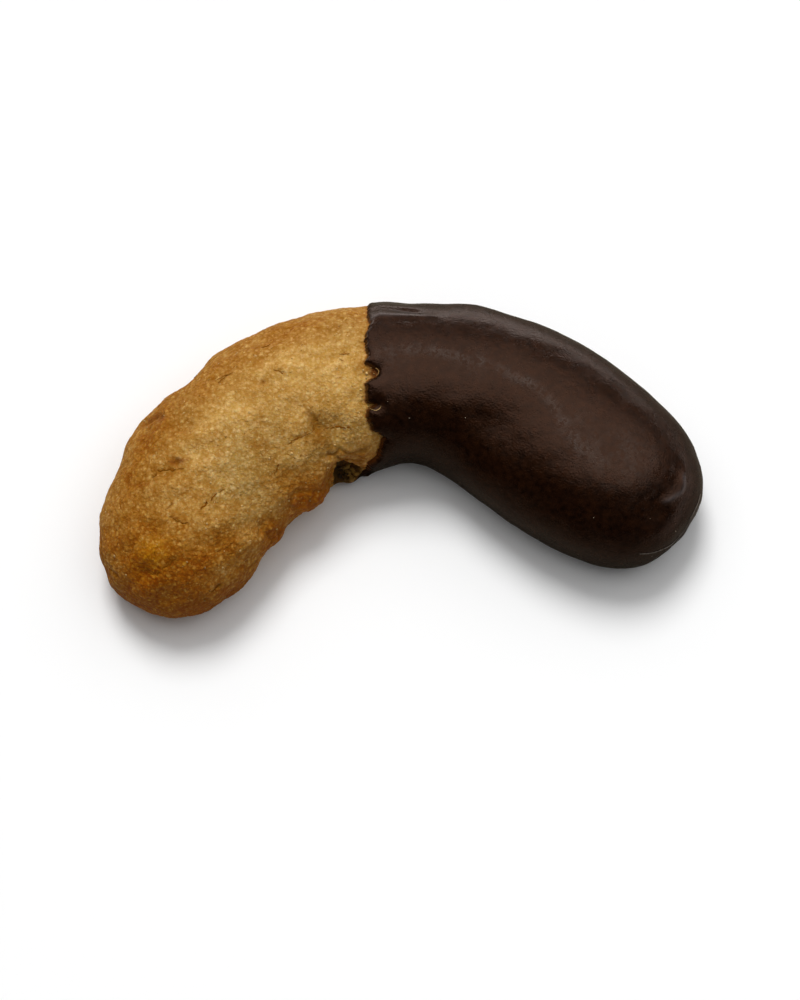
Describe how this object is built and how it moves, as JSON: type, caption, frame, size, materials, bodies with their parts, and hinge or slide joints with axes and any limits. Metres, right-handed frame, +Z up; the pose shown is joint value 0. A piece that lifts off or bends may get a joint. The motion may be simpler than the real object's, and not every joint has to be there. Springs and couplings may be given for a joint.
{
  "type": "walnut crescent cookie",
  "caption": "Crescent biscuit: a bent roll of baked short dough with a flat underside, coated in dark chocolate from the bend to the far tip.",
  "frame": {"origin": "middle of the object's box, at the height of the surface it lies on", "axes": "+X from the bare tip to the dipped tip, +Y from the crook to the outer side of the bend, +Z up"},
  "size_m": [0.0874, 0.047, 0.0172],
  "materials": {
    "baked_dough": "matt baked crumb, golden on top and browner at the tip and the sides",
    "dark_chocolate": "satin dark chocolate"
  },
  "bodies": {
    "root": {"cookie": "baked_dough", "coat": "dark_chocolate"}
  },
  "joints": []
}
